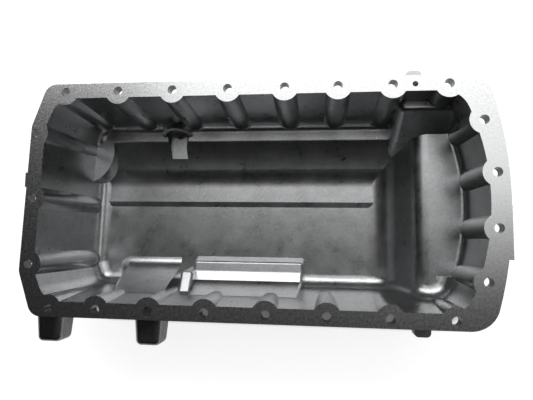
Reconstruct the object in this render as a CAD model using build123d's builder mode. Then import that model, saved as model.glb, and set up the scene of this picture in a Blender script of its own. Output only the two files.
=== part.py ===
from build123d import *
from math import cos, radians, sin, tan
import os

# Cast aluminium oil pan of a four-cylinder engine, with its drain plug and sealing washer.
#
# The sealing face of the flange is the plane Z = 0 and the pan hangs below it. X runs along the engine:
# the deep sump is at the -X end and the shallow part at the +X end. The drain is on the +Y side and
# the two compressor lugs stand out on the -Y side. All lengths are in millimetres, angles in degrees.

os.makedirs("parts", exist_ok=True)

# ---------------------------------------------------------------- driving dimensions
# Inside of the walls at the sealing face
WALL = 4.0
INSIDE_LEFT = -206.8
INSIDE_RIGHT = 206.2
INSIDE_HALF_WIDTH = 97.2
INSIDE_SKEW = 1.6
INSIDE_END_RISE = 23.0
INSIDE_BEVEL_START = 68.0
INSIDE_BEVEL_IN = 12.0
INSIDE_BEVEL_RADIUS = 22.0
INSIDE_END_RADIUS = 24.0
WALL_DRAFT = 5.0
SHALLOW_END_DRAFT = 1.5

# Flange, which stands out from the inside of the walls
FLANGE_LEFT = INSIDE_LEFT - 14.5
FLANGE_RIGHT = INSIDE_RIGHT + 16.8
FLANGE_HALF_WIDTH = INSIDE_HALF_WIDTH + 14.3
FLANGE_THICKNESS = 12.0
FLANGE_SKEW = 2.2
FLANGE_END_RISE = 18.0
FLANGE_BEVEL_START = 70.0
FLANGE_BEVEL_IN = 14.5
FLANGE_BEVEL_RADIUS = 13.0
FLANGE_END_RADIUS = 25.0

# Bolt holes, by the row that they stand in
HOLE_RADIUS = 4.25
ROW_Y = INSIDE_HALF_WIDTH + 6.3
DRAIN_SIDE_X = (-185.7, -132.6, -79.1, -25.8, 27.7, 76.5, 125.3, 174.1)
LUG_SIDE_X = (-192.2, -145.8, -95.4, -42.9, 12.4, 66.8, 121.3, 175.8)
LEFT_END_X = INSIDE_LEFT - 7.8
LEFT_END_Y = (-63.0, 0.0, 63.0)
RIGHT_OUTER = (INSIDE_RIGHT - 3.6, 70.3)
RIGHT_INNER = (INSIDE_RIGHT + 6.1, 24.2)
DOWEL_X = 144.7
DOWEL_RADIUS = 2.5
DOWEL_DEPTH = 9.0

# Depths below the sealing face
DEEP_FLOOR = 109.0
LEDGE_DEPTH = DEEP_FLOOR - 21.0
SHALLOW_FLOOR = 61.0
SHELF_DEPTH = SHALLOW_FLOOR - 33.0
FLOOR_RIDGE = 0.9

# Where the floors, the ledge and the slopes begin and end
SHALLOW_START_X = 158.5
DEEP_END_X = SHALLOW_START_X - 26.0
LEDGE_END_X = SHALLOW_START_X - 24.5
LEDGE_INNER_Y = INSIDE_HALF_WIDTH - 24.6
SLOPE_FOOT_Y = LEDGE_INNER_Y - 39.0
SHELF_INNER_Y = INSIDE_HALF_WIDTH - 9.2
SHALLOW_EDGE_Y = SHELF_INNER_Y - 16.0
FLOOR_RIDGE_Y = 6.0
FLOOR_RIDGE_RUN = 6.0
FLOOR_RIDGE_FALL = 0.7

# Roundings of the inside
RIM_FILLET = 14.0
SHALLOW_RIM_FILLET = 5.0
LEDGE_FILLET = 7.5
DEEP_END_FILLET = 32.0
CREST_FILLET = 18.0
LEDGE_CREST_FILLET = 7.0
SLOPE_FOOT_FILLET = 42.0
SHELF_FILLET = 5.0
SHELF_END_FILLET = 8.0

# Half-round columns of the wall, one round each bolt
COLUMN_RADIUS = 12.7
COLUMN_DRAFT = 3.5
LUG_COLUMN_DRAFT = 1.0
RIGHT_COLUMN_DRAFT = 1.0

# Pockets that the lug side takes out of the sump. Their ends are given at the deep floor, with the
# draft of each. Each section is drawn from the wall inwards, as distances in from the wall at the
# sealing face and depths below it, and ends in a foot on the floor.
POCKET_A_X = (-163.0, -97.5)
POCKET_A_END_DRAFTS = (8.0, 0.5)
POCKET_A_SECTION = ((0.0, 45.0), (3.9, 45.0), (30.4, 109.0))
POCKET_A_RADII = (3.0,)
POCKET_A_FOOT = 14.0
POCKET_B_X = (-81.0, 44.5)
POCKET_B_END_DRAFTS = (8.0, 5.0)
POCKET_B_SECTION = ((0.0, 42.0), (3.7, 42.0), (15.3, 84.5), (25.0, 89.0), (35.6, 90.0), (40.2, 109.0))
POCKET_B_RADII = (3.0, 1.0, 4.0, 3.0)
RIB_X = (-88.5, -74.0)
RIB_END_DRAFTS = (1.0, 0.0)
RIB_SECTION = ((0.0, 62.0), (5.5, 62.0), (25.0, 73.0), (28.0, 109.0))
RIB_RADII = (2.0, 2.0)
POCKETS = (
    (POCKET_A_X, POCKET_A_END_DRAFTS, POCKET_A_SECTION, POCKET_A_RADII, POCKET_A_FOOT),
    (POCKET_B_X, POCKET_B_END_DRAFTS, POCKET_B_SECTION, POCKET_B_RADII, 0.0),
    (RIB_X, RIB_END_DRAFTS, RIB_SECTION, RIB_RADII, 0.0),
)
POCKET_END_FILLET = 4.0
FOOT_SINK = 0.05

# Round land level with the ledge, about the last column of the left end
LAND_RADIUS = 39.0
LAND_DRAFT = 8.0

# Pads that stand out from the ends of the flange
LEFT_PAD_X = FLANGE_LEFT - 1.3
LEFT_PAD_Y = (10.5, 24.5)
RIGHT_PAD_X = FLANGE_RIGHT + 0.3
RIGHT_PAD_Y = (-51.0, -4.0)

# Compressor lugs on the lug side
LUG_SPACING = 100.0
LUG_CENTRE_X = -152.0
LUG_FACE_Y = -FLANGE_HALF_WIDTH - 27.5
LUG_WIDTH = 24.0
LUG_TOP_DEPTH = 19.0
LUG_HEIGHT = 25.0
LUG_DRAFT = 5.0
LUG_CORNER = 6.0
LUG_END_FILLET = 5.0
LUG_THREAD_RADIUS = 4.25
LUG_THREAD_DEPTH = 24.0

# Small ears under the flange
EAR_WIDTH = 14.5
EAR_THICKNESS = 11.0
EAR_REACH = 8.5
EAR_DRAIN_X = 145.8
EAR_LUG_X = 150.2
EAR_CORNER = 4.0

# Drain port, measured from the middle of its mouth along an axis that dips outwards
DRAIN_X = -99.7
DRAIN_Y = INSIDE_HALF_WIDTH - 18.2
DRAIN_DEPTH = LEDGE_DEPTH - 3.0
DRAIN_DIP = 15.5
DRAIN_MOUTH_RADIUS = 12.5
DRAIN_MOUTH_DEPTH = 6.0
DRAIN_BORE_RADIUS = 9.9
DRAIN_BOSS_RADIUS = 17.0
DRAIN_BOSS_LENGTH = 19.5
DRAIN_CHANNEL_WIDTH = 18.0
DRAIN_CHANNEL_START_Y = DRAIN_Y - 29.0

# Drain plug and its sealing washer
PLUG_THREAD_CLEARANCE = 0.1
PLUG_THREAD_LENGTH = 13.0
PLUG_COLLAR_RADIUS = 14.0
PLUG_COLLAR_THICKNESS = 2.5
PLUG_HEX = 19.0
PLUG_HEX_HEIGHT = 7.0
PLUG_CHAMFER = 1.2
WASHER_RADIUS = 13.5
WASHER_THICKNESS = 1.5
WASHER_CLEARANCE = 0.3

TINY = 0.01
# A face looks along the engine when the X part of its normal is above this
ENDWAYS = 0.5
# Half of a length that clears the whole pan, for profiles that only some of their sides shape
REACH = FLANGE_RIGHT + FLANGE_THICKNESS


def inset(depth, draft=WALL_DRAFT):
    """How far a drafted surface has moved at this depth below the sealing face."""
    return depth * tan(radians(draft))


# ---------------------------------------------------------------- the walls
def plan_outline(left, right, half_width, skew, end_rise, bevel_start, bevel_in, bevel_radius, end_radius):
    """The outline that the flange and the walls share: a slightly skewed left end with bevelled
    corners, and a right end that is one flat arc between rounded corners."""
    with BuildSketch() as plan:
        with BuildLine():
            low_end = (right - end_rise, -half_width)
            high_end = (right - end_rise, half_width)
            FilletPolyline(
                low_end,
                (left - skew + bevel_in, -half_width),
                (left - skew, -bevel_start),
                (left + skew, bevel_start),
                (left + skew + bevel_in, half_width),
                high_end,
                radius=bevel_radius,
            )
            ThreePointArc(high_end, (right, 0), low_end)
        make_face()
        fillet(plan.vertices().sort_by(Axis.X)[-2:], end_radius)
    return plan.sketch


def profile(plane, points, radii, grow):
    """A closed profile with rounded corners; grown, it is the outside of a wall of that thickness."""
    with BuildSketch(plane) as shape:
        with BuildLine():
            FilletPolyline(*points, radius=radii, close=True)
        make_face()
        if grow:
            offset(amount=grow, kind=Kind.INTERSECTION)
    return shape.sketch


def length_profile(grow):
    """Both floors and the slope between them."""
    points = (
        (-REACH, REACH),
        (-REACH, -DEEP_FLOOR),
        (DEEP_END_X, -DEEP_FLOOR),
        (SHALLOW_START_X, -SHALLOW_FLOOR),
        (REACH, -SHALLOW_FLOOR),
        (REACH, REACH),
    )
    return profile(Plane.XZ, points, (0, 0, DEEP_END_FILLET, CREST_FILLET, 0, 0), grow)


def ledge_profile(grow):
    """The low ridge along the deep floor, and the ledge and the slope below it on the drain side."""
    points = (
        (-REACH, REACH),
        (-REACH, -DEEP_FLOOR),
        (FLOOR_RIDGE_Y - FLOOR_RIDGE_RUN, -DEEP_FLOOR),
        (FLOOR_RIDGE_Y, -DEEP_FLOOR + FLOOR_RIDGE),
        (SLOPE_FOOT_Y, -DEEP_FLOOR + FLOOR_RIDGE - FLOOR_RIDGE_FALL),
        (LEDGE_INNER_Y, -LEDGE_DEPTH),
        (REACH, -LEDGE_DEPTH),
        (REACH, REACH),
    )
    radii = (0, 0, 0, 0, SLOPE_FOOT_FILLET, LEDGE_CREST_FILLET, 0, 0)
    return profile(Plane.YZ.offset(-REACH), points, radii, grow)


def shelf_profile(grow):
    """The shelf and the slope below it on the drain side of the shallow end."""
    slope = (SHELF_INNER_Y - SHALLOW_EDGE_Y) / (SHALLOW_FLOOR - SHELF_DEPTH)
    points = (
        (-REACH, REACH),
        (-REACH, -REACH),
        (SHALLOW_EDGE_Y - slope * (REACH - SHALLOW_FLOOR), -REACH),
        (SHELF_INNER_Y, -SHELF_DEPTH),
        (REACH, -SHELF_DEPTH),
        (REACH, REACH),
    )
    return profile(Plane.YZ.offset(LEDGE_END_X), points, (0, 0, 0, SHELF_FILLET, 0, 0), grow)


def within_drain_side(grow):
    """All the space on the inner side of the ledge and of the shelf."""
    with BuildPart() as space:
        extrude(ledge_profile(grow), amount=REACH + LEDGE_END_X + grow)
        extrude(shelf_profile(grow), amount=REACH)
        end = LEDGE_END_X + grow
        end_edges = space.edges().filter_by_position(Axis.X, end - TINY, end + TINY)
        fillet(end_edges.filter_by_position(Axis.Z, -LEDGE_DEPTH + TINY, 0), SHELF_END_FILLET - grow)
    return space.part


def rim_edges(space):
    """The edges that run round the space inside the walls where these meet the floors and the slope."""
    low = space.edges().filter_by_position(Axis.Z, -REACH, -SHALLOW_FLOOR + TINY)
    return low.filter_by(Axis.Y, reverse=True)


def drafted_walls(grow, depth, draft):
    """The space inside the drafted walls down to this depth."""
    with BuildPart() as space:
        with BuildSketch():
            add(plan_outline(INSIDE_LEFT, INSIDE_RIGHT, INSIDE_HALF_WIDTH, INSIDE_SKEW, INSIDE_END_RISE,
                             INSIDE_BEVEL_START, INSIDE_BEVEL_IN, INSIDE_BEVEL_RADIUS, INSIDE_END_RADIUS))
            if grow:
                offset(amount=grow / cos(radians(draft)))
        extrude(amount=-depth, taper=draft)
    return space.part


def shallow_end(grow):
    """The space above the shallow floor, where the end wall is steeper and has a small rounding. It
    begins and ends behind columns, so that no step shows."""
    start_x = DRAIN_SIDE_X[-2]
    start_y = -RIGHT_OUTER[1]
    with BuildPart() as space:
        add(drafted_walls(grow, SHALLOW_FLOOR + grow, SHALLOW_END_DRAFT))
        fillet(space.faces().sort_by(Axis.Z)[0].edges(), SHALLOW_RIM_FILLET + grow)
        with BuildSketch(Plane.XY.offset(-REACH)):
            with BuildLine():
                Polyline(
                    (start_x, start_y),
                    (REACH, start_y),
                    (REACH, REACH),
                    (start_x, REACH),
                    close=True,
                )
            make_face()
        extrude(amount=REACH, mode=Mode.INTERSECT)
        add(within_drain_side(grow), mode=Mode.INTERSECT)
    return space.part


def tub(grow):
    """The space inside the walls, without columns; grown by the wall, it is the outside of them."""
    with BuildPart() as space:
        add(drafted_walls(grow, DEEP_FLOOR + 2 * WALL, WALL_DRAFT))
        extrude(length_profile(grow), amount=REACH, both=True, mode=Mode.INTERSECT)
        fillet(rim_edges(space), RIM_FILLET + grow)
        add(within_drain_side(grow), mode=Mode.INTERSECT)
        ledge = -LEDGE_DEPTH - grow
        ledge_edges = space.edges().filter_by_position(Axis.Z, ledge - TINY, ledge + TINY)
        fillet(ledge_edges.sort_by(Axis.Y)[-1], LEDGE_FILLET)
        add(shallow_end(grow))
    return space.part


# ---------------------------------------------------------------- what the walls bend around
DRAIN_SIDE_HOLES = [(x, ROW_Y) for x in DRAIN_SIDE_X]
LUG_SIDE_HOLES = [(x, -ROW_Y) for x in LUG_SIDE_X]
LEFT_END_HOLES = [(LEFT_END_X, y) for y in LEFT_END_Y]
RIGHT_END_HOLES = [(x, side * y) for x, y in (RIGHT_OUTER, RIGHT_INNER) for side in (-1, 1)]


def columns(shrink):
    """A drafted column about each bolt; shrunk by the wall, it is the room for the bolt's head."""
    height = DEEP_FLOOR + 2 * WALL
    rows = (
        (DRAIN_SIDE_HOLES + LEFT_END_HOLES, COLUMN_DRAFT),
        (LUG_SIDE_HOLES, LUG_COLUMN_DRAFT),
        (RIGHT_END_HOLES, RIGHT_COLUMN_DRAFT),
    )
    with BuildPart() as row_columns:
        for holes, draft in rows:
            with Locations(*holes):
                Cone(
                    COLUMN_RADIUS - shrink + inset(height, draft),
                    COLUMN_RADIUS - shrink,
                    height,
                    align=(Align.CENTER, Align.CENTER, Align.MAX),
                )
    return row_columns.part


def pocket(ends, end_drafts, section, radii, foot, shrink):
    """A pocket in the lug side between two X positions; shrunk by the wall, it is its hollow back. A
    foot radius rounds its front and its first end into the floor, and leaves its other end sharp."""
    start, end = ends
    start_lean, end_lean = [tan(radians(draft)) for draft in end_drafts]
    points = [(-INSIDE_HALF_WIDTH + distance, -depth) for distance, depth in section]
    front_y, front_z = points[-1]
    upper_y, upper_z = points[-2]
    front_lean = (front_y - upper_y) / (upper_z - front_z)
    points = [(-REACH, points[0][1]), *points[1:-1]]
    points += [(front_y + front_lean * (front_z + REACH), -REACH), (-REACH, -REACH)]
    below = REACH - DEEP_FLOOR
    with BuildPart() as solid:
        with BuildSketch(Plane.YZ.offset(-REACH)):
            with BuildLine():
                FilletPolyline(*points, radius=(0, *radii, 0, 0), close=True)
            make_face()
            if shrink:
                offset(amount=-shrink, kind=Kind.INTERSECTION)
        extrude(amount=2 * REACH)
        with BuildSketch(Plane.XZ):
            with BuildLine():
                Polyline(
                    (start - below * start_lean, -REACH),
                    (end + below * end_lean, -REACH),
                    (end - DEEP_FLOOR * end_lean, 0),
                    (start + DEEP_FLOOR * start_lean, 0),
                    close=True,
                )
            make_face()
            if shrink:
                offset(amount=-shrink, kind=Kind.INTERSECTION)
        extrude(amount=REACH, both=True, mode=Mode.INTERSECT)
        if not shrink:
            end_faces = solid.faces().filter_by(lambda face: abs(face.normal_at().X) > ENDWAYS)
            if foot:
                end_faces = end_faces.sort_by(Axis.X)[:1]
            end_edges = end_faces.edges().filter_by_position(Axis.Y, -INSIDE_HALF_WIDTH, 0)
            fillet(end_edges, POCKET_END_FILLET)
        if foot:
            floor = -DEEP_FLOOR - FOOT_SINK - shrink
            with BuildSketch(Plane.XY.offset(floor)):
                Rectangle(2 * REACH, 2 * REACH)
            extrude(amount=-WALL)
            foot_edges = solid.edges().filter_by_position(Axis.Z, floor - TINY, floor + TINY)
            foot_edges = foot_edges.filter_by_position(Axis.Y, -INSIDE_HALF_WIDTH, -TINY)
            fillet(foot_edges, foot + shrink)
    return solid.part


def land(shrink):
    """The round land about the last column of the left end."""
    height = DEEP_FLOOR - LEDGE_DEPTH + 2 * WALL
    with BuildPart() as solid:
        with Locations((LEFT_END_X, max(LEFT_END_Y), -LEDGE_DEPTH - shrink)):
            Cone(
                LAND_RADIUS - shrink + inset(height, LAND_DRAFT),
                LAND_RADIUS - shrink,
                height,
                align=(Align.CENTER, Align.CENTER, Align.MAX),
            )
    return solid.part


def walls(grow):
    """The whole space inside the walls; grown by the wall, it is their outside."""
    with BuildPart() as space:
        add(tub(grow))
        add(columns(grow), mode=Mode.SUBTRACT)
        for ends, end_drafts, section, radii, foot in POCKETS:
            add(pocket(ends, end_drafts, section, radii, foot, grow), mode=Mode.SUBTRACT)
        add(land(grow), mode=Mode.SUBTRACT)
    return space.part


# ---------------------------------------------------------------- flange, lugs and ears
def flange():
    """The flange plate with the pads at its two ends."""
    with BuildPart() as plate:
        with BuildSketch():
            add(plan_outline(FLANGE_LEFT, FLANGE_RIGHT, FLANGE_HALF_WIDTH, FLANGE_SKEW, FLANGE_END_RISE,
                             FLANGE_BEVEL_START, FLANGE_BEVEL_IN, FLANGE_BEVEL_RADIUS, FLANGE_END_RADIUS))
            for edge_x, (low_y, high_y) in ((LEFT_PAD_X, LEFT_PAD_Y), (RIGHT_PAD_X, RIGHT_PAD_Y)):
                with BuildLine():
                    Polyline((0, low_y), (edge_x, low_y), (edge_x, high_y), (0, high_y), close=True)
                make_face()
        extrude(amount=-FLANGE_THICKNESS)
    return plate.part


def compressor_lug(centre_x):
    """One block lug, drafted towards its machined face on the lug side."""
    with BuildPart() as lug:
        with BuildSketch(Plane.XZ.offset(-LUG_FACE_Y)):
            with Locations((centre_x, -LUG_TOP_DEPTH - LUG_HEIGHT / 2)):
                RectangleRounded(LUG_WIDTH, LUG_HEIGHT, LUG_CORNER)
        extrude(amount=LUG_FACE_Y + INSIDE_HALF_WIDTH - WALL, taper=-LUG_DRAFT)
        fillet(lug.faces().sort_by(Axis.Y)[0].edges(), LUG_END_FILLET)
    return lug.part


def ear(centre_x, side):
    """A small ear under the edge of the flange."""
    with BuildPart() as block:
        with BuildSketch(Plane.XY.offset(-FLANGE_THICKNESS)):
            with Locations((centre_x, side * (FLANGE_HALF_WIDTH + EAR_REACH) / 2)):
                Rectangle(EAR_WIDTH, FLANGE_HALF_WIDTH + EAR_REACH)
        extrude(amount=-EAR_THICKNESS)
        outer_edges = block.edges().filter_by(Axis.Z).sort_by(Axis.Y)
        fillet(outer_edges[-2:] if side > 0 else outer_edges[:2], EAR_CORNER)
    return block.part


# ---------------------------------------------------------------- drain
def along_drain(distance):
    """The plane across the drain's axis at this distance outwards from its mouth."""
    dip = radians(DRAIN_DIP)
    mouth = Plane(
        origin=(DRAIN_X, DRAIN_Y, -DRAIN_DEPTH),
        x_dir=(1, 0, 0),
        z_dir=(0, cos(dip), -sin(dip)),
    )
    return mouth.offset(distance)


def drain_channel(grow):
    """The channel that leads from the deep floor's slope into the mouth of the drain."""
    width = DRAIN_CHANNEL_WIDTH + 2 * grow
    floor = -DRAIN_DEPTH - DRAIN_MOUTH_RADIUS
    with BuildPart() as channel:
        with BuildSketch(Plane.XY.offset(floor - grow)):
            with BuildLine():
                start_y = DRAIN_CHANNEL_START_Y
                end_y = DRAIN_Y + DRAIN_MOUTH_DEPTH - WALL + grow
                Polyline(
                    (DRAIN_X - width / 2, start_y),
                    (DRAIN_X + width / 2, start_y),
                    (DRAIN_X + width / 2, end_y),
                    (DRAIN_X - width / 2, end_y),
                    close=True,
                )
            make_face()
        extrude(amount=DRAIN_MOUTH_RADIUS)
    return channel.part


# ---------------------------------------------------------------- the casting
hollow = walls(0)
skin = walls(WALL)
LUG_CENTRES_X = [LUG_CENTRE_X + side * LUG_SPACING / 2 for side in (-1, 1)]

with BuildPart() as oil_pan:
    add(skin)
    for lug_x in LUG_CENTRES_X:
        add(compressor_lug(lug_x))
    add(ear(EAR_DRAIN_X, 1))
    add(ear(EAR_LUG_X, -1))
    add(drain_channel(WALL))
    add(columns(WALL), mode=Mode.SUBTRACT)
    add(flange())
    add(hollow, mode=Mode.SUBTRACT)
    with BuildSketch(along_drain(0)):
        Circle(DRAIN_BOSS_RADIUS)
    extrude(amount=DRAIN_BOSS_LENGTH)
    with BuildSketch(along_drain(-DRAIN_MOUTH_RADIUS)):
        Circle(DRAIN_MOUTH_RADIUS)
    extrude(amount=DRAIN_MOUTH_RADIUS + DRAIN_MOUTH_DEPTH, mode=Mode.SUBTRACT)
    with BuildSketch(along_drain(0)):
        Circle(DRAIN_BORE_RADIUS)
    extrude(amount=DRAIN_BOSS_LENGTH, mode=Mode.SUBTRACT)
    add(drain_channel(0), mode=Mode.SUBTRACT)
    with Locations(*DRAIN_SIDE_HOLES, *LUG_SIDE_HOLES, *LEFT_END_HOLES, *RIGHT_END_HOLES):
        Hole(HOLE_RADIUS, depth=FLANGE_THICKNESS)
    with Locations((DOWEL_X, ROW_Y)):
        Hole(DOWEL_RADIUS, depth=DOWEL_DEPTH)
    with BuildSketch(Plane.XZ.offset(-LUG_FACE_Y)):
        with Locations(*[(lug_x, -LUG_TOP_DEPTH - LUG_HEIGHT / 2) for lug_x in LUG_CENTRES_X]):
            Circle(LUG_THREAD_RADIUS)
    extrude(amount=-LUG_THREAD_DEPTH, mode=Mode.SUBTRACT)
oil_pan.part.label = "oil_pan"
export_step(oil_pan.part, "parts/oil_pan.step")

# ---------------------------------------------------------------- drain washer and drain plug
with BuildPart() as drain_washer:
    with BuildSketch(along_drain(DRAIN_BOSS_LENGTH)):
        Circle(WASHER_RADIUS)
        Circle(DRAIN_BORE_RADIUS - PLUG_THREAD_CLEARANCE + WASHER_CLEARANCE, mode=Mode.SUBTRACT)
    extrude(amount=WASHER_THICKNESS)
drain_washer.part.label = "drain_washer"
export_step(drain_washer.part, "parts/drain_washer.step")

seat = DRAIN_BOSS_LENGTH + WASHER_THICKNESS
with BuildPart() as drain_plug:
    with BuildSketch(along_drain(seat)):
        Circle(PLUG_COLLAR_RADIUS)
    extrude(amount=PLUG_COLLAR_THICKNESS)
    with BuildSketch(along_drain(seat + PLUG_COLLAR_THICKNESS)):
        RegularPolygon(PLUG_HEX / 2, 6, major_radius=False)
    extrude(amount=PLUG_HEX_HEIGHT)
    with BuildSketch(along_drain(seat)):
        Circle(DRAIN_BORE_RADIUS - PLUG_THREAD_CLEARANCE)
    extrude(amount=-PLUG_THREAD_LENGTH)
    drain_axis = Axis((DRAIN_X, DRAIN_Y, -DRAIN_DEPTH), along_drain(0).z_dir)
    inner_end = drain_plug.faces().sort_by(drain_axis)[0]
    chamfer(inner_end.edges(), PLUG_CHAMFER)
drain_plug.part.label = "drain_plug"
export_step(drain_plug.part, "parts/drain_plug.step")
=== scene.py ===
"""Looks of the engine oil pan: its finishes, the floor it stands on, the light and the camera."""
import bpy
from math import pi, radians
from mathutils import Matrix, Vector


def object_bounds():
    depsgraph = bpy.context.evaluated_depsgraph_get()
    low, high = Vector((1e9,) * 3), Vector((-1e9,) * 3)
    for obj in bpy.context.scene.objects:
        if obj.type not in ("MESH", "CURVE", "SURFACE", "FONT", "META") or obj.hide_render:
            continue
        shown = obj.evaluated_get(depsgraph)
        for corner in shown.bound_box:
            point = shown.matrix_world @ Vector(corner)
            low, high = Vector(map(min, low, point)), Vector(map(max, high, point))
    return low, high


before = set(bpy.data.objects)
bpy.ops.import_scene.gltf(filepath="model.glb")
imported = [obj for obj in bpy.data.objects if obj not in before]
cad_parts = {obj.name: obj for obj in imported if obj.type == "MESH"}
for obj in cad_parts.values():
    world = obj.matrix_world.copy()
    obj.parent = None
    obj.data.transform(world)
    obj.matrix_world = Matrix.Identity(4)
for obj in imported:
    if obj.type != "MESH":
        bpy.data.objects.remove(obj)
cad_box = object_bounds()
CAD_LOW, CAD_HIGH = cad_box

# Lengths are in metres, in the frame of the CAD model: the sealing face is the plane Z = 0.
MM = 0.001

# Camera
CAMERA_PLACE = Vector((58, -36.5, 400)) * MM
CAMERA_VIEW = Vector((-0.1125, 0.0875, -0.98977))
CAMERA_UP = Vector((-0.0045, 0.9960, 0.0886))
CAMERA_FOCAL_PIXELS = 447
PHOTO_WIDTH_PIXELS = 533
SENSOR_WIDTH = 36

# Sockets of the Mix node that blends two colours; their names are shared with its other data types
MIX_COLOUR_A = 6
MIX_COLOUR_B = 7
MIX_COLOUR_RESULT = 2


# ---------------------------------------------------------------- shader helpers
class Shader:
    """A material's or world's node tree, with short calls for the nodes that this scene uses."""

    def __init__(self, tree):
        self.tree = tree
        self.tree.nodes.clear()

    def node(self, kind, **settings):
        made = self.tree.nodes.new(kind)
        for name, value in settings.items():
            setattr(made, name, value)
        return made

    def link(self, source, target):
        self.tree.links.new(source, target)

    def feed(self, socket, value):
        """Link the value if it is a socket, and otherwise set it."""
        if isinstance(value, bpy.types.NodeSocket):
            self.link(value, socket)
        else:
            socket.default_value = value

    def object_place(self):
        return self.node("ShaderNodeTexCoord").outputs["Object"]

    def math(self, operation, *values):
        made = self.node("ShaderNodeMath", operation=operation)
        for socket, value in zip(made.inputs, values):
            self.feed(socket, value)
        return made.outputs[0]

    def vector(self, operation, *values):
        made = self.node("ShaderNodeVectorMath", operation=operation)
        for socket, value in zip(made.inputs, values):
            self.feed(socket, value)
        return made.outputs[0]

    def length(self, vector):
        made = self.node("ShaderNodeVectorMath", operation="LENGTH")
        self.link(vector, made.inputs[0])
        return made.outputs["Value"]

    def noise(self, place, scale, detail, roughness=0.6):
        """Noise with about this many blotches to a metre."""
        made = self.node("ShaderNodeTexNoise")
        self.link(place, made.inputs["Vector"])
        made.inputs["Scale"].default_value = scale
        made.inputs["Detail"].default_value = detail
        made.inputs["Roughness"].default_value = roughness
        return made.outputs["Fac"]

    def ramp(self, value, start, end, output=(0.0, 1.0)):
        """Carry the range from start to end over to the output range, and hold it beyond both ends."""
        made = self.node("ShaderNodeMapRange")
        made.inputs["From Min"].default_value = start
        made.inputs["From Max"].default_value = end
        made.inputs["To Min"].default_value, made.inputs["To Max"].default_value = output
        self.feed(made.inputs["Value"], value)
        return made.outputs["Result"]

    def weigh(self, first, second, first_share):
        """The mean of two values, with this share for the first and the rest for the second."""
        return self.math(
            "ADD",
            self.math("MULTIPLY", first, first_share),
            self.math("MULTIPLY", second, 1 - first_share),
        )

    def blend_colour(self, factor, first, second):
        made = self.node("ShaderNodeMix", data_type="RGBA")
        self.feed(made.inputs["Factor"], factor)
        self.feed(made.inputs[MIX_COLOUR_A], first)
        self.feed(made.inputs[MIX_COLOUR_B], second)
        return made.outputs[MIX_COLOUR_RESULT]

    def bump(self, height, strength, distance):
        made = self.node("ShaderNodeBump")
        self.feed(made.inputs["Height"], height)
        self.feed(made.inputs["Strength"], strength)
        made.inputs["Distance"].default_value = distance
        return made.outputs["Normal"]

    def light_path(self):
        return self.node("ShaderNodeLightPath").outputs

    def seen(self, ray):
        """1 for what the camera sees, straight or through glass, and otherwise 0."""
        return self.math("MAXIMUM", ray["Is Camera Ray"], ray["Is Transmission Ray"])


def new_material(name):
    material = bpy.data.materials.new(name)
    material.use_nodes = True
    return material, Shader(material.node_tree)


def finish_metal(shader, colour, roughness, normal):
    surface = shader.node("ShaderNodeBsdfPrincipled")
    surface.inputs["Metallic"].default_value = 1.0
    shader.link(colour, surface.inputs["Base Color"])
    shader.link(roughness, surface.inputs["Roughness"])
    shader.link(normal, surface.inputs["Normal"])
    output = shader.node("ShaderNodeOutputMaterial")
    shader.link(surface.outputs["BSDF"], output.inputs["Surface"])


def dress(node_name, material):
    """Give a CAD node this material alone."""
    mesh = bpy.data.objects[node_name].data
    mesh.materials.clear()
    mesh.materials.append(material)


# ---------------------------------------------------------------- materials
# The sealing face and the ends of the lugs were machined after casting. They lie just past these planes.
SEALING_FACE_Z = CAD_HIGH[2] - 0.05 * MM
LUG_FACE_Y = CAD_LOW[1] + 0.1 * MM

# How many blotches each noise of the finishes has to a metre, and the range of its values that is used
PATCHES = 45
SPECKLES = 420
SCUFFS = 260
COARSE_GRAINS = 300
FINE_GRAINS = 1100
STEEL_PATCHES = 120
STEEL_GRAINS = 900
WASHER_PATCHES = 200
NOISE_RANGE = (0.35, 0.65)
MOTTLE_RANGE = (0.38, 0.62)
WORN_RANGE = (0.36, 0.64)

# Each finish: the colours and roughnesses that it varies between, and the strength of its bumps
CAST_DARK = (0.37, 0.375, 0.38, 1)
CAST_PALE = (0.50, 0.505, 0.51, 1)
CAST_ROUGHNESS = (0.26, 0.34)
CAST_BUMP = 0.18
CAST_BUMP_HEIGHT = 0.5 * MM
MACHINED_DARK = (0.66, 0.665, 0.67, 1)
MACHINED_PALE = (0.76, 0.765, 0.77, 1)
MACHINED_ROUGHNESS = (0.25, 0.29)
MACHINED_BUMP = 0.001
STEEL_DARK = (0.42, 0.42, 0.40, 1)
STEEL_PALE = (0.62, 0.61, 0.57, 1)
STEEL_ROUGHNESS = (0.26, 0.4)
STEEL_BUMP = 0.12
WASHER_DARK = (0.68, 0.68, 0.69, 1)
WASHER_PALE = (0.80, 0.80, 0.81, 1)
WASHER_ROUGHNESS = (0.28, 0.38)
WASHER_BUMP = 0.1
TURNED_BUMP_HEIGHT = 0.2 * MM

# Scuffs on the cast faces: their direction, and their length as a multiple of their width
SCUFF_TURN = radians(-40)
SCUFF_STRETCH = 8


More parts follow.
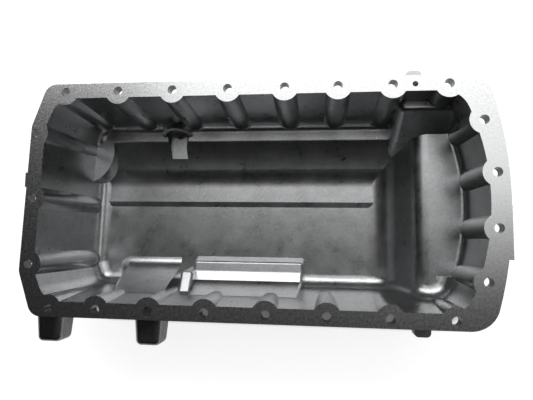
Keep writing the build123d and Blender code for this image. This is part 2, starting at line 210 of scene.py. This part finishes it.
def cast_aluminium():
    """Sand-blasted casting with faint scuffs, brighter and smoother where its faces were machined."""
    material, shader = new_material("cast_aluminium")
    place = shader.object_place()
    split = shader.node("ShaderNodeSeparateXYZ")
    shader.link(place, split.inputs[0])
    on_seal = shader.math("GREATER_THAN", split.outputs["Z"], SEALING_FACE_Z)
    on_lug = shader.math("LESS_THAN", split.outputs["Y"], LUG_FACE_Y)
    machined = shader.math("MAXIMUM", on_seal, on_lug)

    patches = shader.noise(place, scale=PATCHES, detail=5, roughness=0.65)
    speckle = shader.noise(place, scale=SPECKLES, detail=3)
    mottle = shader.weigh(patches, speckle, first_share=0.6)
    cast_colour = shader.blend_colour(shader.ramp(mottle, *MOTTLE_RANGE), CAST_DARK, CAST_PALE)
    speckled = shader.ramp(speckle, *NOISE_RANGE)
    machined_colour = shader.blend_colour(speckled, MACHINED_DARK, MACHINED_PALE)
    colour = shader.blend_colour(machined, cast_colour, machined_colour)

    turned = shader.node("ShaderNodeMapping", vector_type="TEXTURE")
    turned.inputs["Rotation"].default_value = (0, 0, SCUFF_TURN)
    turned.inputs["Scale"].default_value = (1, SCUFF_STRETCH, 1)
    shader.link(place, turned.inputs["Vector"])
    scuffs = shader.noise(turned.outputs["Vector"], scale=SCUFFS, detail=5, roughness=0.7)
    worn = shader.weigh(patches, scuffs, first_share=0.5)
    cast_roughness = shader.ramp(worn, *WORN_RANGE, CAST_ROUGHNESS)
    machined_roughness = shader.ramp(speckle, *NOISE_RANGE, MACHINED_ROUGHNESS)
    roughness = shader.math(
        "ADD",
        shader.math("MULTIPLY", cast_roughness, shader.math("SUBTRACT", 1.0, machined)),
        shader.math("MULTIPLY", machined_roughness, machined),
    )

    grain = shader.noise(place, scale=FINE_GRAINS, detail=2, roughness=0.5)
    coarse = shader.noise(place, scale=COARSE_GRAINS, detail=3)
    height = shader.weigh(grain, coarse, first_share=0.35)
    strength = shader.ramp(machined, 0, 1, (CAST_BUMP, MACHINED_BUMP))
    normal = shader.bump(height, strength, CAST_BUMP_HEIGHT)
    finish_metal(shader, colour, roughness, normal)
    return material


def plated_steel():
    """Zinc-plated steel of the drain plug."""
    material, shader = new_material("plated_steel")
    place = shader.object_place()
    patches = shader.noise(place, scale=STEEL_PATCHES, detail=4)
    colour = shader.blend_colour(patches, STEEL_DARK, STEEL_PALE)
    roughness = shader.ramp(patches, *NOISE_RANGE, STEEL_ROUGHNESS)
    grain = shader.noise(place, scale=STEEL_GRAINS, detail=2)
    normal = shader.bump(grain, STEEL_BUMP, TURNED_BUMP_HEIGHT)
    finish_metal(shader, colour, roughness, normal)
    return material


def soft_aluminium():
    """Turned aluminium of the sealing washer."""
    material, shader = new_material("soft_aluminium")
    patches = shader.noise(shader.object_place(), scale=WASHER_PATCHES, detail=3)
    colour = shader.blend_colour(patches, WASHER_DARK, WASHER_PALE)
    roughness = shader.ramp(patches, *NOISE_RANGE, WASHER_ROUGHNESS)
    normal = shader.bump(patches, WASHER_BUMP, TURNED_BUMP_HEIGHT)
    finish_metal(shader, colour, roughness, normal)
    return material


dress("oil_pan", cast_aluminium())
dress("drain_plug", plated_steel())
dress("drain_washer", soft_aluminium())


# ---------------------------------------------------------------- floor
FLOOR_SIZE = 40.0
FLOOR_GAP = 0.2 * MM
FLOOR_COLOUR = (0.6, 0.6, 0.6, 1)
# The glow left inside the painted shadow under the pan
PAINTED_SHADOW_GLOW = 0.12
FLOOR_GLOW_NEAR = 0.84
FLOOR_GLOW_FAR = 1.0
FLOOR_GLOW_IN_METAL = 0.25

# Part of the pan's shadow is drawn here. The floor's glow is weak inside a box with these half sizes, comes
# back between the two distances of SHADOW_EDGE from it, and reaches its full strength at SHADOW_FAR.
SHADOW_CENTRE = (0, -5 * MM, 0)
SHADOW_BOX = (180 * MM, 80 * MM, 1)
SHADOW_EDGE = (40 * MM, 50 * MM)
SHADOW_FAR = 1.2


def floor_glow(shader):
    """The floor's glow by the distance from the pan, which paints its shadow, and by what looks at it."""
    from_centre = shader.vector("SUBTRACT", shader.object_place(), SHADOW_CENTRE)
    past_box = shader.vector("SUBTRACT", shader.vector("ABSOLUTE", from_centre), SHADOW_BOX)
    distance = shader.length(shader.vector("MAXIMUM", past_box, (0, 0, 0)))
    far_glow = shader.ramp(distance, 0, SHADOW_FAR, (FLOOR_GLOW_NEAR, FLOOR_GLOW_FAR))
    # Painted shadow: the glow is weak inside the box round the pan and comes back over SHADOW_EDGE.
    shadow = shader.ramp(distance, *SHADOW_EDGE, (PAINTED_SHADOW_GLOW, 1))
    ray = shader.light_path()
    in_metal = shader.math("MULTIPLY", ray["Is Glossy Ray"], FLOOR_GLOW_IN_METAL)
    shown = shader.math("MAXIMUM", shader.seen(ray), in_metal)
    return shader.math("MULTIPLY", shown, shader.math("MULTIPLY", far_glow, shadow))


def floor_material():
    """White glowing paper, weaker in the metal, with a painted shadow round the pan; clear from below."""
    material, shader = new_material("floor_paper")
    paper = shader.node("ShaderNodeBsdfDiffuse")
    paper.inputs["Color"].default_value = FLOOR_COLOUR
    glow = shader.node("ShaderNodeEmission")
    shader.link(floor_glow(shader), glow.inputs["Strength"])
    both = shader.node("ShaderNodeAddShader")
    shader.link(paper.outputs[0], both.inputs[0])
    shader.link(glow.outputs[0], both.inputs[1])
    one_sided = shader.node("ShaderNodeMixShader")
    shader.link(shader.node("ShaderNodeNewGeometry").outputs["Backfacing"], one_sided.inputs[0])
    shader.link(both.outputs[0], one_sided.inputs[1])
    shader.link(shader.node("ShaderNodeBsdfTransparent").outputs[0], one_sided.inputs[2])
    output = shader.node("ShaderNodeOutputMaterial")
    shader.link(one_sided.outputs[0], output.inputs["Surface"])
    return material


def add_floor():
    level = CAD_LOW[2] - FLOOR_GAP
    half = FLOOR_SIZE / 2
    corners = [(-half, -half, level), (half, -half, level), (half, half, level), (-half, half, level)]
    mesh = bpy.data.meshes.new("floor")
    mesh.from_pydata(corners, [], [(0, 1, 2, 3)])
    mesh.materials.append(floor_material())
    floor = bpy.data.objects.new("floor", mesh)
    bpy.context.scene.collection.objects.link(floor)


add_floor()


# ---------------------------------------------------------------- light
LAMP_HEIGHT = 1.5
SIDE_LAMP_HEIGHT = 0.75
SIDEWAYS = radians(90)

# In the metal the world is dark away from the light and a little paler towards it. It changes between the
# two values of WORLD_EDGE, which are measured along Y, with a share of X added.
WORLD_DARK = 0.01
WORLD_PALE = 0.06
WORLD_EDGE = (-0.1, 0.6)
WORLD_X_SHARE = 0.5


def softbox(name, centre, size, brightness, turn=0.0):
    """A rectangular lamp that shines straight down, or towards -X when it is turned sideways."""
    width, depth = size
    lamp = bpy.data.lights.new(name, "AREA")
    lamp.shape = "RECTANGLE"
    lamp.size = width
    lamp.size_y = depth
    lamp.energy = brightness * pi * width * depth
    holder = bpy.data.objects.new(name, lamp)
    holder.location = centre
    holder.rotation_euler.y = turn
    bpy.context.scene.collection.objects.link(holder)


def light_world():
    """Surroundings that are dark in the metal, most so away from the light, and white to the camera."""
    world = bpy.data.worlds.new("studio")
    world.use_nodes = True
    bpy.context.scene.world = world
    shader = Shader(world.node_tree)
    seen = shader.seen(shader.light_path())
    split = shader.node("ShaderNodeSeparateXYZ")
    shader.link(shader.node("ShaderNodeTexCoord").outputs["Generated"], split.inputs[0])
    sideways = shader.math("MULTIPLY", split.outputs["X"], WORLD_X_SHARE)
    towards_light = shader.math("ADD", split.outputs["Y"], sideways)
    level = shader.ramp(towards_light, *WORLD_EDGE, (WORLD_DARK, WORLD_PALE))
    around = shader.node("ShaderNodeBackground")
    around.inputs["Color"].default_value = (1, 1, 1, 1)
    shader.link(shader.math("MAXIMUM", seen, level), around.inputs["Strength"])
    output = shader.node("ShaderNodeOutputWorld")
    shader.link(around.outputs[0], output.inputs["Surface"])


# The lamps were placed by the photo's reflections. A brightness of 1 is white.
softbox("softbox_drain_side", centre=(0, 1.55, LAMP_HEIGHT), size=(3.3, 1.3), brightness=3.3)
softbox("softbox_overhead", centre=(0.29, 0.51, LAMP_HEIGHT), size=(1.94, 0.78), brightness=1.2)
softbox("softbox_shallow_end", centre=(0.68, 0, LAMP_HEIGHT), size=(0.76, 0.24), brightness=0.5)
softbox(
    "softbox_right",
    centre=(1.65, 0.4, SIDE_LAMP_HEIGHT),
    size=(0.5, 1.4),
    brightness=1.7,
    turn=SIDEWAYS,
)
light_world()


# ---------------------------------------------------------------- camera
def add_camera():
    data = bpy.data.cameras.new("camera")
    data.sensor_width = SENSOR_WIDTH
    data.lens = CAMERA_FOCAL_PIXELS * SENSOR_WIDTH / PHOTO_WIDTH_PIXELS
    data.clip_start = 1 * MM
    camera = bpy.data.objects.new("camera", data)
    back = -CAMERA_VIEW.normalized()
    right = CAMERA_UP.cross(back).normalized()
    up = back.cross(right)
    camera.matrix_world = Matrix.Translation(CAMERA_PLACE) @ Matrix((right, up, back)).transposed().to_4x4()
    bpy.context.scene.collection.objects.link(camera)
    bpy.context.scene.camera = camera


add_camera()
bpy.context.scene.view_settings.view_transform = "Standard"
